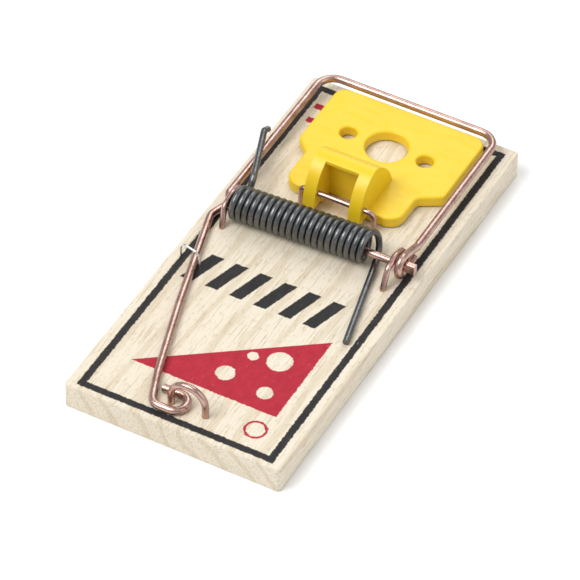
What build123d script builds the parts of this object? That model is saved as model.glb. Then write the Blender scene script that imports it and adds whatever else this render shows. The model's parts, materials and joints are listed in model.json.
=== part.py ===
from build123d import *
import math
import os

os.makedirs("parts", exist_ok=True)

# A wooden snap mouse trap, sprung shut, all sizes in millimetres.
# The origin is at the centre of the underside of the base. +Y runs from the arm end to the
# pedal end, +X is to the right when looking along +Y, and +Z is up.

# ---- driving dimensions ------------------------------------------------------------------
BASE_LENGTH = 98.4
BASE_WIDTH = 46.0
DECK = 5.8  # thickness of the base, so the height of its top face
BASE_CORNER_RADIUS = 0.8
BASE_EDGE_RADIUS = 0.35
STAPLE_DEPTH = 4.4  # how far the staple legs are driven into the wood

# hammer: one bent wire, whose crossbar is the hinge pin
HAMMER_WIRE = 1.6
HINGE_Y = 7.0
HINGE_Z = DECK + 3.0
HAMMER_LEFT_X = -19.75
HAMMER_RIGHT_X = 19.0
HAMMER_BAR_Y = 47.9
HAMMER_CORNER_RADIUS = 3.8
CRANK_RADIUS = 1.7
EYE_RADIUS = 2.0
EYE_START_Y = 12.8
EYE_LEAD_RADIUS = 3.0
EYE_TAIL_Y = 11.9
HEAD_START_X = 19.95
HEAD_END_X = 21.7
HEAD_WIDTH = 2.4
HEAD_THICKNESS = 1.3
HEAD_CORNER_RADIUS = 0.39

# torsion spring: left-handed, both legs leave it at the bottom
SPRING_WIRE = 1.34
SPRING_RADIUS = 2.93  # to the middle of the wire
SPRING_START = (-16.85, 6.25, DECK + 3.75)  # left end of the coil's axis
SPRING_SKEW = 3.0  # degrees, the loose coil lies slightly across the crossbar
SPRING_PITCH = 1.36
TIGHT_TURNS = 20.5
LAST_TURN_PITCH = 4.0
LAST_TURNS = 0.5
SPRING_JOINT_SWELL = 0.01
SPRING_JOINT_TURN = (90, 0, 0)  # keeps the seam of each joint's ball off the legs
BASE_LEG_TIP = (18.25, -14.6, DECK + 0.75)
HAMMER_LEG_POINTS = [
    (-16.95, 10.6, DECK + 1.0),
    (-16.95, 13.2, DECK + 4.55),
    (-21.3, 25.3, DECK + 5.1),
    (-21.75, 27.6, DECK + 3.5),
]
HAMMER_LEG_RADII = [2.2, 2.2, 1.0]

# staples
HINGE_STAPLE_WIRE = 1.2
HINGE_STAPLE_TOP = DECK + 4.9  # middle of the wire
HINGE_STAPLE_KNEE_DROP = 0.96  # from the top down to each shoulder
HINGE_STAPLE_RADII = [1.2, 1.8, 2.5, 1.8, 1.2]
LEFT_STAPLE_FOOT_X = -17.7
LEFT_STAPLE_X = -18.25
RIGHT_STAPLE_X = 17.4
NEAR_FOOT_Y = 1.9
NEAR_SHOULDER_Y = 3.8
FAR_SHOULDER_Y = 10.0
FAR_FOOT_Y = 11.4
ARM_STAPLE_WIRE = 1.4
ARM_STAPLE_LEFT_X = -3.0
ARM_STAPLE_RIGHT_X = 4.3
ARM_STAPLE_Y = -43.7
ARM_STAPLE_TOP = DECK + 6.0
ARM_STAPLE_CROWN = 0.1  # straight run between its two bends
PEDAL_STAPLE_WIRE = 1.2
PEDAL_STAPLE_LEFT_X = -7.7
PEDAL_STAPLE_RIGHT_X = 8.2
PEDAL_STAPLE_BENDS = [0.9, 1.5]
SHIPPING_WIRE = 0.45
SHIPPING_LEFT_FOOT = (-20.7, -8.9)
SHIPPING_RIGHT_FOOT = (-16.0, -10.0)
SHIPPING_TOP = DECK + 3.8
SHIPPING_DEPTH = 2.0
SHIPPING_BEND = 1.5

# locking arm: one flat bent wire lying on the deck, listed from its tip to the end of its eye
ARM_WIRE = 1.6
ARM_Z = DECK + 0.85
ARM_POINTS = [
    (-18.75, 9.6),
    (-21.0, 3.3),
    (-14.3, -20.8),
    (-8.7, -38.8),
    (-5.8, -46.2),
    (0.2, -46.1),
    (0.2, -41.4),
    (-5.85, -41.7),
]
ARM_RADII = [3.0, 150.0, 40.0, 2.4, 2.2, 2.2]

# pedal: a moulded plate with a raised catch, hung on the pedal staple
PIVOT_Y = 15.6
PIVOT_Z = DECK + 4.2
PIVOT_CLEARANCE = 0.05  # on the radius
PLATE_BOTTOM = DECK + 0.4
PLATE_THICKNESS = 2.2
PLATE_LEFT_X = -15.8
PLATE_RIGHT_X = 17.2
PLATE_FAR_Y = 46.7
PLATE_CORNER_RADIUS = 2.6
LOBE_LEFT_X = -12.7
LOBE_RIGHT_X = 12.5
LOBE_NEAR_Y = 17.2
LEFT_SHOULDER_Y = 29.5
LEFT_STEP_Y = 26.6
RIGHT_SHOULDER_Y = 28.0
RIGHT_STEP_Y = 25.3
LOBE_RADIUS = 3.2
SHOULDER_RADIUS = 1.6
PLATE_EDGE_RADIUS = 0.5
EAR_THICKNESS = 2.55
EAR_LEFT_X = -6.55  # outer face of the left ear
EAR_RIGHT_X = 5.9  # outer face of the right ear
EAR_BOTTOM = DECK + 1.3
EAR_FRONT_Y = 13.9
CATCH_TOP = DECK + 10.8
CATCH_CURVE_CENTRE_Y = 21.0
CATCH_BACK_Y = 27.6
CATCH_REAR_MIDDLE = (25.0, DECK + 7.5)  # a point on the rear curve, as (y, z)
CATCH_LIP_Y = 18.6
CATCH_LIP_THICKNESS = 1.3
CATCH_WALL_Y = 20.4
BAIT_HOLE_RADIUS = 4.3
BAIT_HOLE_CENTRE = (0.6, 35.4)
SMALL_HOLE_RADIUS = 1.7
SMALL_HOLE_CENTRES = [(-7.9, 35.4), (9.1, 35.4)]
CUT_MARGIN = 1.0  # how far a cutting shape reaches past what it cuts


def make_staple(points, radii, wire, label):
    """A staple or other wire bent to a path of straight runs and tangent arcs."""
    with BuildPart() as staple:
        with BuildLine() as path:
            FilletPolyline(*points, radius=radii)
        with BuildSketch(Plane(origin=path.line @ 0, z_dir=path.line % 0)):
            Circle(wire / 2)
        sweep()
    staple.part.label = label
    return staple


def hinge_staple_points(foot_x, x):
    """A tall hoop across the crossbar, its near leg leaning towards the hinge."""
    bottom = DECK - STAPLE_DEPTH
    knee = HINGE_STAPLE_TOP - HINGE_STAPLE_KNEE_DROP
    return [
        (foot_x, NEAR_FOOT_Y, bottom),
        (foot_x, NEAR_FOOT_Y, DECK),
        (x, NEAR_SHOULDER_Y, knee),
        (x, HINGE_Y, HINGE_STAPLE_TOP),
        (x, FAR_SHOULDER_Y, knee),
        (x, FAR_FOOT_Y, DECK),
        (x, FAR_FOOT_Y, bottom),
    ]


# ---- the four driven staples ---------------------------------------------------------------
hinge_staple_left = make_staple(
    hinge_staple_points(LEFT_STAPLE_FOOT_X, LEFT_STAPLE_X),
    HINGE_STAPLE_RADII,
    HINGE_STAPLE_WIRE,
    "hinge_staple_left",
)
hinge_staple_right = make_staple(
    hinge_staple_points(RIGHT_STAPLE_X, RIGHT_STAPLE_X),
    HINGE_STAPLE_RADII,
    HINGE_STAPLE_WIRE,
    "hinge_staple_right",
)

arm_staple_bend = (ARM_STAPLE_RIGHT_X - ARM_STAPLE_LEFT_X - ARM_STAPLE_CROWN) / 2
arm_staple = make_staple(
    [
        (ARM_STAPLE_LEFT_X, ARM_STAPLE_Y, DECK - STAPLE_DEPTH),
        (ARM_STAPLE_LEFT_X, ARM_STAPLE_Y, ARM_STAPLE_TOP),
        (ARM_STAPLE_RIGHT_X, ARM_STAPLE_Y, ARM_STAPLE_TOP),
        (ARM_STAPLE_RIGHT_X, ARM_STAPLE_Y, DECK - STAPLE_DEPTH),
    ],
    [arm_staple_bend, arm_staple_bend],
    ARM_STAPLE_WIRE,
    "arm_staple",
)

pedal_staple = make_staple(
    [
        (PEDAL_STAPLE_LEFT_X, PIVOT_Y, DECK - STAPLE_DEPTH),
        (PEDAL_STAPLE_LEFT_X, PIVOT_Y, PIVOT_Z),
        (PEDAL_STAPLE_RIGHT_X, PIVOT_Y, PIVOT_Z),
        (PEDAL_STAPLE_RIGHT_X, PIVOT_Y, DECK - STAPLE_DEPTH),
    ],
    PEDAL_STAPLE_BENDS,
    PEDAL_STAPLE_WIRE,
    "pedal_staple",
)

# ---- shipping staple: fine wire that pins the locking arm down until first use ---------------
shipping_staple = make_staple(
    [
        (*SHIPPING_LEFT_FOOT, DECK - SHIPPING_DEPTH),
        (*SHIPPING_LEFT_FOOT, SHIPPING_TOP),
        (*SHIPPING_RIGHT_FOOT, SHIPPING_TOP),
        (*SHIPPING_RIGHT_FOOT, DECK - SHIPPING_DEPTH),
    ],
    [SHIPPING_BEND, SHIPPING_BEND],
    SHIPPING_WIRE,
    "shipping_staple",
)

# ---- base: a pine block, with a hole for every driven leg ------------------------------------
with BuildPart() as base:
    with BuildSketch():
        RectangleRounded(BASE_WIDTH, BASE_LENGTH, BASE_CORNER_RADIUS)
    extrude(amount=DECK)
    rims = base.edges().group_by(Axis.Z)
    fillet(rims[0] + rims[-1], BASE_EDGE_RADIUS)
    for driven in (hinge_staple_left, hinge_staple_right, arm_staple, pedal_staple, shipping_staple):
        add(driven.part, mode=Mode.SUBTRACT)
base.part.label = "base"

# ---- hammer: crossbar, left wire, striking bar, right wire and the eye round the crossbar ----
with BuildPart() as hammer:
    with BuildLine() as frame_path:
        FilletPolyline(
            (HEAD_START_X, HINGE_Y, HINGE_Z),
            (HAMMER_LEFT_X, HINGE_Y, HINGE_Z),
            (HAMMER_LEFT_X, HAMMER_BAR_Y, HINGE_Z),
            (HAMMER_RIGHT_X, HAMMER_BAR_Y, HINGE_Z),
            (HAMMER_RIGHT_X, EYE_START_Y + EYE_LEAD_RADIUS, HINGE_Z),
            radius=[CRANK_RADIUS, HAMMER_CORNER_RADIUS, HAMMER_CORNER_RADIUS],
        )
    with BuildSketch(Plane(origin=frame_path.line @ 0, z_dir=frame_path.line % 0)):
        Circle(HAMMER_WIRE / 2)
    sweep()

    # the eye rises to a circle round the crossbar, goes over it and ends in a tail beneath
    lead_length = EYE_START_Y - HINGE_Y
    lift_angle = math.asin(EYE_RADIUS / lead_length)
    touch_y = HINGE_Y + EYE_RADIUS * math.sin(lift_angle)
    touch_z = HINGE_Z + EYE_RADIUS * math.cos(lift_angle)
    with BuildLine() as eye_path:
        lead = FilletPolyline(
            (HAMMER_RIGHT_X, EYE_START_Y + EYE_LEAD_RADIUS, HINGE_Z),
            (HAMMER_RIGHT_X, EYE_START_Y, HINGE_Z),
            (HAMMER_RIGHT_X, touch_y, touch_z),
            radius=EYE_LEAD_RADIUS,
        )
        ThreePointArc(
            (HAMMER_RIGHT_X, touch_y, touch_z),
            (HAMMER_RIGHT_X, HINGE_Y - EYE_RADIUS, HINGE_Z),
            (HAMMER_RIGHT_X, HINGE_Y, HINGE_Z - EYE_RADIUS),
        )
        Line(
            (HAMMER_RIGHT_X, HINGE_Y, HINGE_Z - EYE_RADIUS),
            (HAMMER_RIGHT_X, EYE_TAIL_Y, HINGE_Z - EYE_RADIUS),
        )
    with BuildSketch(Plane(origin=eye_path.line @ 0, z_dir=eye_path.line % 0)):
        Circle(HAMMER_WIRE / 2)
    sweep()

    # flattened head that keeps the eye on the crossbar
    with BuildSketch(Plane(origin=(HEAD_START_X, HINGE_Y, HINGE_Z), z_dir=(1, 0, 0))):
        RectangleRounded(HEAD_WIDTH, HEAD_THICKNESS, HEAD_CORNER_RADIUS)
    extrude(amount=HEAD_END_X - HEAD_START_X)
hammer.part.label = "hammer"

# ---- torsion spring: tight coil, one opened half turn, a leg on the deck, a leg on the hammer ---
skew_axis = Axis(SPRING_START, (0, 0, 1))
tight_length = SPRING_PITCH * TIGHT_TURNS
with BuildLine() as coil_path:
    coil = Helix(
        SPRING_PITCH,
        tight_length,
        SPRING_RADIUS,
        center=SPRING_START,
        direction=(1, 0, 0),
        lefthand=True,
        mode=Mode.PRIVATE,
    )
    # a helix starts at its top, and this coil starts at its bottom
    add(coil.rotate(Axis(SPRING_START, (1, 0, 0)), 180).rotate(skew_axis, SPRING_SKEW))
with BuildLine() as open_path:
    half_turn = Helix(
        LAST_TURN_PITCH,
        LAST_TURN_PITCH * LAST_TURNS,
        SPRING_RADIUS,
        center=Vector(*SPRING_START) + Vector(tight_length, 0, 0),
        direction=(1, 0, 0),
        lefthand=True,
        mode=Mode.PRIVATE,
    )
    add(half_turn.rotate(skew_axis, SPRING_SKEW))
with BuildLine() as base_leg_path:
    Line(open_path.line @ 1, BASE_LEG_TIP)
with BuildLine() as hammer_leg_path:
    FilletPolyline(coil_path.line @ 0, *HAMMER_LEG_POINTS, radius=HAMMER_LEG_RADII)

with BuildPart() as torsion_spring:
    # the two ends with their legs, the balls at the joints, then the tight coil
    for run in (hammer_leg_path, open_path, base_leg_path):
        with BuildSketch(Plane(origin=run.line @ 0, z_dir=run.line % 0)):
            Circle(SPRING_WIRE / 2)
        sweep(path=run.line)
    with Locations(coil_path.line @ 0, open_path.line @ 0, open_path.line @ 1):
        Sphere(SPRING_WIRE / 2 + SPRING_JOINT_SWELL, rotation=SPRING_JOINT_TURN)
    with BuildSketch(Plane(origin=coil_path.line @ 0, z_dir=coil_path.line % 0)):
        Circle(SPRING_WIRE / 2)
    sweep(path=coil_path.line)
torsion_spring.part.label = "torsion_spring"

# ---- locking arm -----------------------------------------------------------------------------
with BuildPart() as locking_arm:
    with BuildLine(Plane.XY.offset(ARM_Z)) as arm_path:
        FilletPolyline(*ARM_POINTS, radius=ARM_RADII)
    with BuildSketch(Plane(origin=arm_path.line @ 0, z_dir=arm_path.line % 0)):
        Circle(ARM_WIRE / 2)
    sweep()
locking_arm.part.label = "locking_arm"

# ---- pedal: plate with two lobes, and a catch made of two ears, a back wall and a lip ----------
plate_top = PLATE_BOTTOM + PLATE_THICKNESS
with BuildPart() as pedal:
    with BuildSketch(Plane.XY.offset(PLATE_BOTTOM)) as plate_outline:
        with BuildLine():
            FilletPolyline(
                (LOBE_LEFT_X, LOBE_NEAR_Y),
                (LOBE_RIGHT_X, LOBE_NEAR_Y),
                (LOBE_RIGHT_X, RIGHT_STEP_Y),
                (PLATE_RIGHT_X, RIGHT_SHOULDER_Y),
                (PLATE_RIGHT_X, PLATE_FAR_Y),
                (PLATE_LEFT_X, PLATE_FAR_Y),
                (PLATE_LEFT_X, LEFT_SHOULDER_Y),
                (LOBE_LEFT_X, LEFT_STEP_Y),
                radius=[
                    LOBE_RADIUS,
                    LOBE_RADIUS,
                    SHOULDER_RADIUS,
                    SHOULDER_RADIUS,
                    PLATE_CORNER_RADIUS,
                    PLATE_CORNER_RADIUS,
                    SHOULDER_RADIUS,
                    SHOULDER_RADIUS,
                ],
                close=True,
            )
        make_face()
        with Locations(BAIT_HOLE_CENTRE):
            Circle(BAIT_HOLE_RADIUS, mode=Mode.SUBTRACT)
        with Locations(*SMALL_HOLE_CENTRES):
            Circle(SMALL_HOLE_RADIUS, mode=Mode.SUBTRACT)
    extrude(amount=PLATE_THICKNESS)
    fillet(pedal.edges().group_by(Axis.Z)[-1], PLATE_EDGE_RADIUS)

    # side profile shared by the ears, drawn looking along +X
    front_centre = (CATCH_CURVE_CENTRE_Y, EAR_BOTTOM)
    with BuildSketch(Plane((EAR_LEFT_X, 0, 0), (0, 1, 0), (1, 0, 0))) as catch_profile:
        with BuildLine():
            EllipticalCenterArc(
                front_centre,
                CATCH_CURVE_CENTRE_Y - EAR_FRONT_Y,
                CATCH_TOP - EAR_BOTTOM,
                start_angle=90,
                arc_size=90,
            )
            Polyline(
                (EAR_FRONT_Y, EAR_BOTTOM),
                (CATCH_BACK_Y, EAR_BOTTOM),
                (CATCH_BACK_Y, plate_top),
            )
            ThreePointArc(
                (CATCH_BACK_Y, plate_top),
                CATCH_REAR_MIDDLE,
                (CATCH_CURVE_CENTRE_Y, CATCH_TOP),
            )
        make_face()
    extrude(amount=EAR_RIGHT_X - EAR_LEFT_X)

    # the recess between the ears, open to the front, below the lip
    with BuildSketch(Plane((EAR_LEFT_X + EAR_THICKNESS, 0, 0), (0, 1, 0), (1, 0, 0))):
        with BuildLine():
            Polyline(
                (EAR_FRONT_Y - CUT_MARGIN, PLATE_BOTTOM - CUT_MARGIN),
                (CATCH_WALL_Y, PLATE_BOTTOM - CUT_MARGIN),
                (CATCH_WALL_Y, CATCH_TOP - CATCH_LIP_THICKNESS),
                (CATCH_LIP_Y, CATCH_TOP - CATCH_LIP_THICKNESS),
                (CATCH_LIP_Y, CATCH_TOP + CUT_MARGIN),
                (EAR_FRONT_Y - CUT_MARGIN, CATCH_TOP + CUT_MARGIN),
                close=True,
            )
        make_face()
    extrude(amount=EAR_RIGHT_X - EAR_LEFT_X - 2 * EAR_THICKNESS, mode=Mode.SUBTRACT)

    # pivot bore through both ears
    with BuildSketch(Plane((EAR_LEFT_X - CUT_MARGIN, PIVOT_Y, PIVOT_Z), (0, 1, 0), (1, 0, 0))):
        Circle(PEDAL_STAPLE_WIRE / 2 + PIVOT_CLEARANCE)
    extrude(amount=EAR_RIGHT_X - EAR_LEFT_X + 2 * CUT_MARGIN, mode=Mode.SUBTRACT)
pedal.part.label = "pedal"

# ---- one STEP file for each piece --------------------------------------------------------------
pieces = [
    base,
    hammer,
    torsion_spring,
    locking_arm,
    pedal,
    hinge_staple_left,
    hinge_staple_right,
    arm_staple,
    pedal_staple,
    shipping_staple,
]
for piece in pieces:
    export_step(piece.part, f"parts/{piece.part.label}.step")
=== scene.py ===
import json
import math

import bpy
from mathutils import Matrix, Vector


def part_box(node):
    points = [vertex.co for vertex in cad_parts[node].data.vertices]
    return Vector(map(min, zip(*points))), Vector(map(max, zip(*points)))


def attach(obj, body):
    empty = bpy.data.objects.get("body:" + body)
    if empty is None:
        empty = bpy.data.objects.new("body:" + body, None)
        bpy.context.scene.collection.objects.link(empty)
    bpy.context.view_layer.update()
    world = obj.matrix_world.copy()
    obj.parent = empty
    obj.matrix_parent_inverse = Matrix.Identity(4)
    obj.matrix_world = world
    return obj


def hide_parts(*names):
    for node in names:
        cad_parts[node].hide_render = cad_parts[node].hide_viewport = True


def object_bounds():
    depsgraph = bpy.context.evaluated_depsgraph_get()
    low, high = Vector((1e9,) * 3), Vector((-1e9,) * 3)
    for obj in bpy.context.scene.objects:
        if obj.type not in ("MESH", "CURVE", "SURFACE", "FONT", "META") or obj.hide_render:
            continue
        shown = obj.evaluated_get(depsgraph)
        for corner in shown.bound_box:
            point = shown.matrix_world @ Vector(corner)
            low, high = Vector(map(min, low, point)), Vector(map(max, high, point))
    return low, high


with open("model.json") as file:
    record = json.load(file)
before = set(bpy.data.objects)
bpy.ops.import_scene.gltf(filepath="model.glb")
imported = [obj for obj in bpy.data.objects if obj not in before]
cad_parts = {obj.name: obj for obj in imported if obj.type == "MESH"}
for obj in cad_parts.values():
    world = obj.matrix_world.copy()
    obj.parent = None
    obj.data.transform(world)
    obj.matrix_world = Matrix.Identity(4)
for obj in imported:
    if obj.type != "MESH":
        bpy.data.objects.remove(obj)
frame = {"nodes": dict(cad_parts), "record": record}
cad_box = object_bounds()

MM = 0.001
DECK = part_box("base")[1].z / MM  # height of the base's top face, in millimetres

# the torsion spring's shape, in millimetres, as in the CAD source
SPRING_WIRE = 1.34
SPRING_RADIUS = 2.93
SPRING_START = Vector((-16.85, 6.25, DECK + 3.75))
SPRING_SKEW = math.radians(3.0)
SPRING_PITCH = 1.36
TIGHT_TURNS = 20.5
LAST_TURN_PITCH = 4.0
LAST_TURNS = 0.5
BASE_LEG_TIP = (18.25, -14.6, DECK + 0.75)
HAMMER_LEG_POINTS = [
    (-16.95, 10.6, DECK + 1.0),
    (-16.95, 13.2, DECK + 4.55),
    (-21.3, 25.3, DECK + 5.1),
    (-21.75, 27.6, DECK + 3.5),
]
HAMMER_LEG_RADII = [2.2, 2.2, 1.0]
STEPS_PER_TURN = 32
ARC_STEP = math.radians(10)
WIRE_ROUNDNESS = 6

# camera, fitted to the corners of the base: angles, then millimetres
CAMERA_AZIMUTH = math.radians(28.0)
CAMERA_ELEVATION = math.radians(44.67)
CAMERA_ROLL = math.radians(0.86)
CAMERA_DISTANCE = 863.0
CAMERA_OFFSET = (-1.47, -4.81)
CAMERA_LENS = 279.2
CAMERA_CLIP = (0.05, 20.0)

# name, azimuth and elevation in degrees, distance and size in metres, power in watts
LIGHTS = [
    ("key", -40, 58, 0.9, 0.55, 5.6),
    ("fill", 95, 35, 1.0, 0.8, 1.9),
    ("back", 190, 50, 1.0, 0.6, 2.5),
]
WORLD_STRENGTH = 0.46
WORLD_WHITE = (1.0, 1.0, 1.0, 1.0)


# ---- node helpers ---------------------------------------------------------------------------
def colour(red, green, blue):
    """A colour given as it looks on a screen, 0 to 255, as the linear values a shader takes."""
    def linear(value):
        value /= 255
        return value / 12.92 if value <= 0.04045 else ((value + 0.055) / 1.055) ** 2.4
    return (linear(red), linear(green), linear(blue), 1.0)


class Graph:
    """One node material, with short calls for the nodes that the materials below share."""

    def __init__(self, name, **shader_values):
        self.material = bpy.data.materials.new(name)
        self.material.use_nodes = True
        self.nodes = self.material.node_tree.nodes
        self.links = self.material.node_tree.links
        self.shader = self.nodes["Principled BSDF"]
        for socket, value in shader_values.items():
            self.shader.inputs[socket.replace("_", " ")].default_value = value
        place = self.node("ShaderNodeTexCoord").outputs["Object"]
        self.place = self.scaled(place, (1 / MM,) * 3)

    def node(self, kind, settings=None, inputs=None):
        node = self.nodes.new(kind)
        for name, value in (settings or {}).items():
            setattr(node, name, value)
        for key, value in (inputs or {}).items():
            self.put(value, node.inputs[key])
        return node

    def put(self, value, socket):
        if isinstance(value, bpy.types.NodeSocket):
            self.links.new(value, socket)
        else:
            socket.default_value = value

    def math(self, operation, *values):
        inputs = dict(enumerate(values))
        return self.node("ShaderNodeMath", {"operation": operation}, inputs).outputs[0]

    def scaled(self, vector, factors):
        inputs = {0: vector, 1: factors}
        return self.node("ShaderNodeVectorMath", {"operation": "MULTIPLY"}, inputs).outputs[0]

    def noise(self, scale, stretch=(1, 1, 1), detail=4.0, distortion=0.0):
        """Noise with about `scale` features per millimetre."""
        vector = self.scaled(self.place, stretch)
        inputs = {"Vector": vector, "Scale": scale, "Detail": detail, "Distortion": distortion}
        return self.node("ShaderNodeTexNoise", inputs=inputs).outputs["Fac"]

    def between(self, value, low, high, to_low=0.0, to_high=1.0):
        """Value taken smoothly from low..high to to_low..to_high."""
        settings = {"interpolation_type": "SMOOTHSTEP"}
        inputs = {
            "Value": value,
            "From Min": low,
            "From Max": high,
            "To Min": to_low,
            "To Max": to_high,
        }
        return self.node("ShaderNodeMapRange", settings, inputs).outputs[0]

    def mix(self, factor, first, second):
        inputs = {0: factor, 6: first, 7: second}
        return self.node("ShaderNodeMix", {"data_type": "RGBA"}, inputs).outputs[2]

    def bump(self, height, distance_mm, strength, normal=None):
        inputs = {"Height": height, "Distance": distance_mm * MM, "Strength": strength}
        if normal is not None:
            inputs["Normal"] = normal
        return self.node("ShaderNodeBump", inputs=inputs).outputs[0]

    def use(self, **sockets):
        for name, value in sockets.items():
            self.put(value, self.shader.inputs[name.replace("_", " ")])
        return self.material


# ---- printed shapes, as masks from 0 to 1 on the deck ------------------------------------------
INK_EDGE = 0.12


def inside(graph, distance):
    """1 where a distance in millimetres is below zero, with a soft inked edge."""
    return graph.between(distance, -INK_EDGE, INK_EDGE, 1.0, 0.0)


def rectangle(graph, x, y, centre, half, slant=0.0):
    """Distance to a rectangle whose sides lean by slant millimetres of x per millimetre of y."""
    along = graph.math("SUBTRACT", y, centre[1])
    offset = graph.math("SUBTRACT", x, centre[0])
    across = graph.math("SUBTRACT", offset, graph.math("MULTIPLY", along, slant))
    over_x = graph.math("SUBTRACT", graph.math("ABSOLUTE", across), half[0])
    over_y = graph.math("SUBTRACT", graph.math("ABSOLUTE", along), half[1])
    return graph.math("MAXIMUM", over_x, over_y)


def disc(graph, x, y, centre, radius):
    across = graph.math("POWER", graph.math("SUBTRACT", x, centre[0]), 2.0)
    along = graph.math("POWER", graph.math("SUBTRACT", y, centre[1]), 2.0)
    return graph.math("SUBTRACT", graph.math("SQRT", graph.math("ADD", across, along)), radius)


def without(graph, outer, inner):
    return graph.math("MAXIMUM", outer, graph.math("MULTIPLY", inner, -1.0))


def union(graph, distances):
    total = distances[0]
    for distance in distances[1:]:
        total = graph.math("MINIMUM", total, distance)
    return total


BORDER_CENTRE = (0.0, -0.35)
BORDER_HALF = (20.9, 47.75)
BORDER_WIDTH = 1.5
BAR_COUNT = 6
BAR_FIRST_X = -15.6
BAR_STEP = 5.3
BAR_Y = -9.5
BAR_HALF = (1.35, 4.1)
BAR_SLANT = 0.3
WEDGE_LEFT_X = -15.2
WEDGE_RIGHT_X = 15.8
WEDGE_BOTTOM_Y = -37.5
WEDGE_RISE = 0.72
WEDGE_HALF_HEIGHT = 15.0
WEDGE_HOLES = [((9.5, -24.5), 2.5), ((2.0, -32.0), 1.9), ((11.0, -33.0), 1.6), ((4.4, -25.6), 1.1)]
RING_CENTRE = (14.0, -42.1)
RING_RADIUS = 2.3
RING_WIDTH = 0.5
DASH_ROWS = [(41.6, -17.4), (37.4, -17.0)]
DASH_HALF = (1.3, 0.75)


def black_print(graph, x, y):
    outer = rectangle(graph, x, y, BORDER_CENTRE, BORDER_HALF)
    hollow = [half - BORDER_WIDTH for half in BORDER_HALF]
    shapes = [without(graph, outer, rectangle(graph, x, y, BORDER_CENTRE, hollow))]
    for index in range(BAR_COUNT):
        centre = (BAR_FIRST_X + index * BAR_STEP, BAR_Y)
        shapes.append(rectangle(graph, x, y, centre, BAR_HALF, BAR_SLANT))
    return inside(graph, union(graph, shapes))


def red_print(graph, x, y):
    """A wedge of cheese on its side, a ring, and the dashes that show beside the pedal."""
    middle = ((WEDGE_LEFT_X + WEDGE_RIGHT_X) / 2, WEDGE_BOTTOM_Y + WEDGE_HALF_HEIGHT)
    half = ((WEDGE_RIGHT_X - WEDGE_LEFT_X) / 2, WEDGE_HALF_HEIGHT)
    slope = graph.math("MULTIPLY", graph.math("SUBTRACT", x, WEDGE_LEFT_X), WEDGE_RISE)
    above = graph.math("SUBTRACT", graph.math("SUBTRACT", y, WEDGE_BOTTOM_Y), slope)
    wedge = graph.math("MAXIMUM", rectangle(graph, x, y, middle, half), above)
    for centre, radius in WEDGE_HOLES:
        wedge = without(graph, wedge, disc(graph, x, y, centre, radius))
    ring = without(
        graph,
        disc(graph, x, y, RING_CENTRE, RING_RADIUS),
        disc(graph, x, y, RING_CENTRE, RING_RADIUS - RING_WIDTH),
    )
    dashes = [rectangle(graph, x, y, (left, row), DASH_HALF) for row, left in DASH_ROWS]
    return inside(graph, union(graph, [wedge, ring, *dashes]))


# ---- materials ------------------------------------------------------------------------------
GRAIN_ACROSS = 1.1  # radians of ring pattern per millimetre of x
GRAIN_DOWN = 0.7  # and per millimetre of z
GRAIN_WAVER = 15.0  # radians by which the rings wander along the board
PRINT_WOBBLE = 0.55  # how far the ink strays from its outline, in millimetres
PRINT_FADE = (0.3, 0.1)  # depth below the deck where the ink starts and is full, in millimetres
WIRE_PATCH_SCALE = 0.35  # patches of the wire's wash per millimetre


def pine():
    """Pale sawn pine with its grain along Y, printed on the deck only."""
    graph = Graph("pine", Roughness=0.7, Specular_IOR_Level=0.3)
    split = graph.node("ShaderNodeSeparateXYZ", inputs={0: graph.place})
    x, y, z = split.outputs
    waver = graph.noise(0.05, (1, 0.35, 1), 2.0)
    across = graph.math("MULTIPLY", x, GRAIN_ACROSS)
    rings = graph.math("ADD", across, graph.math("MULTIPLY", waver, GRAIN_WAVER))
    rings = graph.math("ADD", rings, graph.math("MULTIPLY", z, GRAIN_DOWN))
    bands = graph.between(graph.math("SINE", rings), 0.35, 1.0)
    fibres = graph.noise(2.6, (1, 0.045, 1), 6.0)
    flecks = graph.noise(2.4, (1, 0.3, 1), 6.0)
    cloud = graph.noise(0.06, (1, 0.4, 1), 3.0)
    bare = graph.mix(cloud, colour(222, 211, 190), colour(235, 225, 207))
    bare = graph.mix(graph.math("MULTIPLY", bands, 0.3), bare, colour(190, 168, 130))
    bare = graph.mix(graph.between(fibres, 0.5, 0.72, 0.0, 0.5), bare, colour(178, 158, 124))
    bare = graph.mix(graph.between(flecks, 0.52, 0.72, 0.0, 0.35), bare, colour(164, 144, 112))

    stray = graph.math("SUBTRACT", graph.noise(1.6, detail=3.0), 0.5)
    wobble = graph.math("MULTIPLY", stray, PRINT_WOBBLE)
    print_x = graph.math("ADD", x, wobble)
    print_y = graph.math("ADD", y, wobble)
    on_deck = graph.between(z, DECK - PRINT_FADE[0], DECK - PRINT_FADE[1])
    worn = graph.between(graph.noise(3.2, (1, 0.3, 1), 5.0), 0.66, 0.8, 1.0, 0.72)
    coverage = graph.math("MULTIPLY", on_deck, worn)
    black = graph.math("MULTIPLY", black_print(graph, print_x, print_y), coverage)
    red = graph.math("MULTIPLY", red_print(graph, print_x, print_y), coverage)
    mottle = graph.noise(0.8, (1, 0.5, 1), 4.0)
    red_ink = graph.mix(mottle, colour(158, 26, 46), colour(192, 46, 64))
    black_ink = graph.mix(mottle, colour(26, 25, 26), colour(56, 54, 54))
    inked = graph.mix(red, bare, red_ink)
    inked = graph.mix(black, inked, black_ink)

    saw = graph.noise(1.8, (0.2, 0.2, 3.0), 4.0)
    normal = graph.bump(fibres, 0.09, 0.7)
    normal = graph.bump(saw, 0.05, 0.4, normal)
    rough = graph.between(flecks, 0.3, 0.8, 0.62, 0.82)
    return graph.use(Base_Color=inked, Roughness=rough, Normal=normal)


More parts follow.
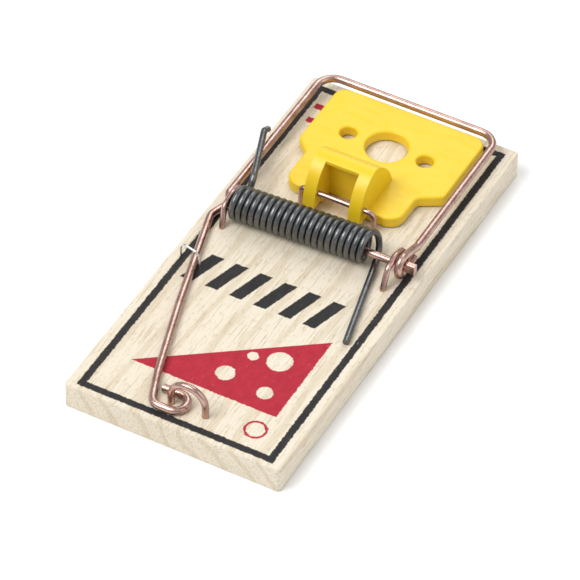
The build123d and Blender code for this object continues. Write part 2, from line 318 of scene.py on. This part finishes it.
def drawn_wire(name, light, dark, roughness):
    """Drawn steel wire: patchy wash, fine marks and small dark flecks."""
    graph = Graph(name, Metallic=1.0)
    patches = graph.noise(WIRE_PATCH_SCALE, detail=5.0)
    marks = graph.noise(5.0, (1, 0.25, 1), 4.0)
    flecks = graph.noise(2.2, detail=6.0)
    shade = graph.mix(graph.between(patches, 0.3, 0.8, 0.0, 0.5), light, dark)
    shade = graph.mix(graph.between(flecks, 0.62, 0.8, 0.0, 0.3), shade, dark)
    rough = graph.between(marks, 0.35, 0.7, roughness - 0.07, roughness + 0.14)
    return graph.use(Base_Color=shade, Roughness=rough, Normal=graph.bump(marks, 0.02, 0.5))


def yellow_plastic():
    graph = Graph("yellow_plastic", Subsurface_Weight=0.08, Subsurface_Scale=0.0015, IOR=1.49)
    cloud = graph.noise(0.12, detail=3.0)
    grain = graph.noise(7.0, detail=3.0)
    scuffs = graph.noise(0.9, (0.25, 1, 1), 6.0, 0.8)
    shade = graph.mix(cloud, colour(236, 199, 26), colour(243, 208, 40))
    shade = graph.mix(graph.between(scuffs, 0.62, 0.74, 0.0, 0.2), shade, colour(224, 186, 20))
    rough = graph.between(scuffs, 0.4, 0.75, 0.3, 0.48)
    return graph.use(Base_Color=shade, Roughness=rough, Normal=graph.bump(grain, 0.015, 0.4))


def floor_paper():
    graph = Graph("floor_paper", Roughness=0.9, Specular_IOR_Level=0.1)
    fleck = graph.noise(0.02, detail=3.0)
    return graph.use(Base_Color=graph.mix(fleck, colour(250, 250, 250), colour(254, 254, 254)))


materials = {
    "pine": pine(),
    "coppered_wire": drawn_wire("coppered_wire", colour(204, 170, 159), colour(122, 90, 79), 0.27),
    "spring_wire": drawn_wire("spring_wire", colour(118, 120, 121), colour(70, 71, 72), 0.33),
    "bright_wire": drawn_wire("bright_wire", colour(226, 226, 226), colour(170, 170, 170), 0.22),
    "yellow_plastic": yellow_plastic(),
}

slot_of = {entry["node"]: entry["material_slot"] for entry in frame["record"]["subparts"]}
for name, node in frame["nodes"].items():
    node.data.materials.clear()
    node.data.materials.append(materials[slot_of[name]])


# ---- torsion spring: the coil stays on the base, its left leg turns with the hammer ------------
def skewed(point):
    """The loose coil lies slightly across the crossbar."""
    turn = Matrix.Rotation(SPRING_SKEW, 3, "Z")
    return SPRING_START + turn @ (Vector(point) - SPRING_START)


def turns(start_x, pitch, count, start_angle):
    """Points of left-handed turns: angle 0 is the top of the coil, a quarter its far side."""
    points = []
    steps = round(count * STEPS_PER_TURN)
    for step in range(steps + 1):
        part = step / STEPS_PER_TURN
        angle = start_angle + 2 * math.pi * part
        across = SPRING_RADIUS * math.sin(angle)
        up = SPRING_RADIUS * math.cos(angle)
        point = (start_x + pitch * part, SPRING_START.y + across, SPRING_START.z + up)
        points.append(skewed(point))
    return points


def rounded(corners, radii):
    """A run through the corners, each inner corner replaced by an arc of its radius."""
    corners = [Vector(corner) for corner in corners]
    points = [corners[0]]
    for before, corner, after, radius in zip(corners, corners[1:], corners[2:], radii):
        back = (before - corner).normalized()
        ahead = (after - corner).normalized()
        half = back.angle(ahead) / 2
        centre = corner + (back + ahead).normalized() * (radius / math.sin(half))
        start = corner + back * (radius / math.tan(half)) - centre
        sweep = math.pi - 2 * half
        axis = start.cross(corner + ahead * (radius / math.tan(half)) - centre)
        steps = max(2, math.ceil(sweep / ARC_STEP))
        for step in range(steps + 1):
            points.append(centre + Matrix.Rotation(sweep * step / steps, 3, axis) @ start)
    points.append(corners[-1])
    return points


def wire(name, points, diameter, body):
    """A round wire along the points, closed at both ends, riding on a body."""
    curve = bpy.data.curves.new(name + "_path", "CURVE")
    curve.dimensions = "3D"
    curve.bevel_depth = diameter / 2 * MM
    curve.bevel_resolution = WIRE_ROUNDNESS
    curve.use_fill_caps = True
    spline = curve.splines.new("POLY")
    spline.points.add(len(points) - 1)
    for control, point in zip(spline.points, points):
        control.co = (*(point * MM), 1.0)
    path = bpy.data.objects.new(name + "_path", curve)
    bpy.context.scene.collection.objects.link(path)
    bpy.context.view_layer.update()
    depsgraph = bpy.context.evaluated_depsgraph_get()
    mesh = bpy.data.meshes.new_from_object(path.evaluated_get(depsgraph))
    bpy.data.objects.remove(path)
    mesh.name = name
    mesh.materials.clear()
    mesh.materials.append(materials["spring_wire"])
    for face in mesh.polygons:
        face.use_smooth = len(face.vertices) == 4  # the flat end caps have more sides
    piece = bpy.data.objects.new(name, mesh)
    bpy.context.scene.collection.objects.link(piece)
    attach(piece, body)
    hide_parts("torsion_spring")


tight = turns(SPRING_START.x, SPRING_PITCH, TIGHT_TURNS, math.pi)
opened = turns(SPRING_START.x + SPRING_PITCH * TIGHT_TURNS, LAST_TURN_PITCH, LAST_TURNS, 0.0)
coil_points = tight + opened[1:] + [Vector(BASE_LEG_TIP)]
leg_points = rounded([tight[0], *HAMMER_LEG_POINTS], HAMMER_LEG_RADII)
wire("spring_coil", coil_points, SPRING_WIRE, "trap_base")
wire("spring_hammer_leg", leg_points, SPRING_WIRE, "hammer")

# ---- floor, lights and camera ---------------------------------------------------------------
FLOOR_SIZE = 6.0
bpy.ops.mesh.primitive_plane_add(size=FLOOR_SIZE, location=(0, 0, cad_box[0].z))
floor = bpy.context.object
floor.name = "floor"
floor.data.materials.append(floor_paper())


def soft_light(name, azimuth, elevation, distance, size, power):
    light = bpy.data.lights.new(name, "AREA")
    light.size = size
    light.energy = power
    holder = bpy.data.objects.new(name, light)
    bpy.context.scene.collection.objects.link(holder)
    a, e = math.radians(azimuth), math.radians(elevation)
    away = Vector((math.sin(a) * math.cos(e), -math.cos(a) * math.cos(e), math.sin(e)))
    holder.location = away * distance
    holder.rotation_euler = away.to_track_quat("Z", "Y").to_euler()


for light_values in LIGHTS:
    soft_light(*light_values)

world = bpy.data.worlds.new("studio")
bpy.context.scene.world = world
world.use_nodes = True
backdrop = world.node_tree.nodes["Background"]
backdrop.inputs["Color"].default_value = WORLD_WHITE
backdrop.inputs["Strength"].default_value = WORLD_STRENGTH

cos_a, sin_a = math.cos(CAMERA_AZIMUTH), math.sin(CAMERA_AZIMUTH)
cos_e, sin_e = math.cos(CAMERA_ELEVATION), math.sin(CAMERA_ELEVATION)
back = Vector((sin_a * cos_e, -cos_a * cos_e, sin_e))
level_right = Vector((cos_a, sin_a, 0.0))
level_up = back.cross(level_right)
roll = Matrix.Rotation(CAMERA_ROLL, 3, back)
camera_x = roll @ level_right
camera_y = roll @ level_up
camera_data = bpy.data.cameras.new("camera")
camera_data.lens = CAMERA_LENS
camera_data.clip_start, camera_data.clip_end = CAMERA_CLIP
camera = bpy.data.objects.new("camera", camera_data)
bpy.context.scene.collection.objects.link(camera)
place = back * CAMERA_DISTANCE + camera_x * CAMERA_OFFSET[0] + camera_y * CAMERA_OFFSET[1]
place = (place + Vector((0, 0, DECK))) * MM
turned = Matrix((camera_x, camera_y, back)).transposed().to_4x4()
camera.matrix_world = Matrix.Translation(place) @ turned
bpy.context.scene.camera = camera

bpy.context.scene.view_settings.view_transform = "Standard"

bpy.context.view_layer.update()
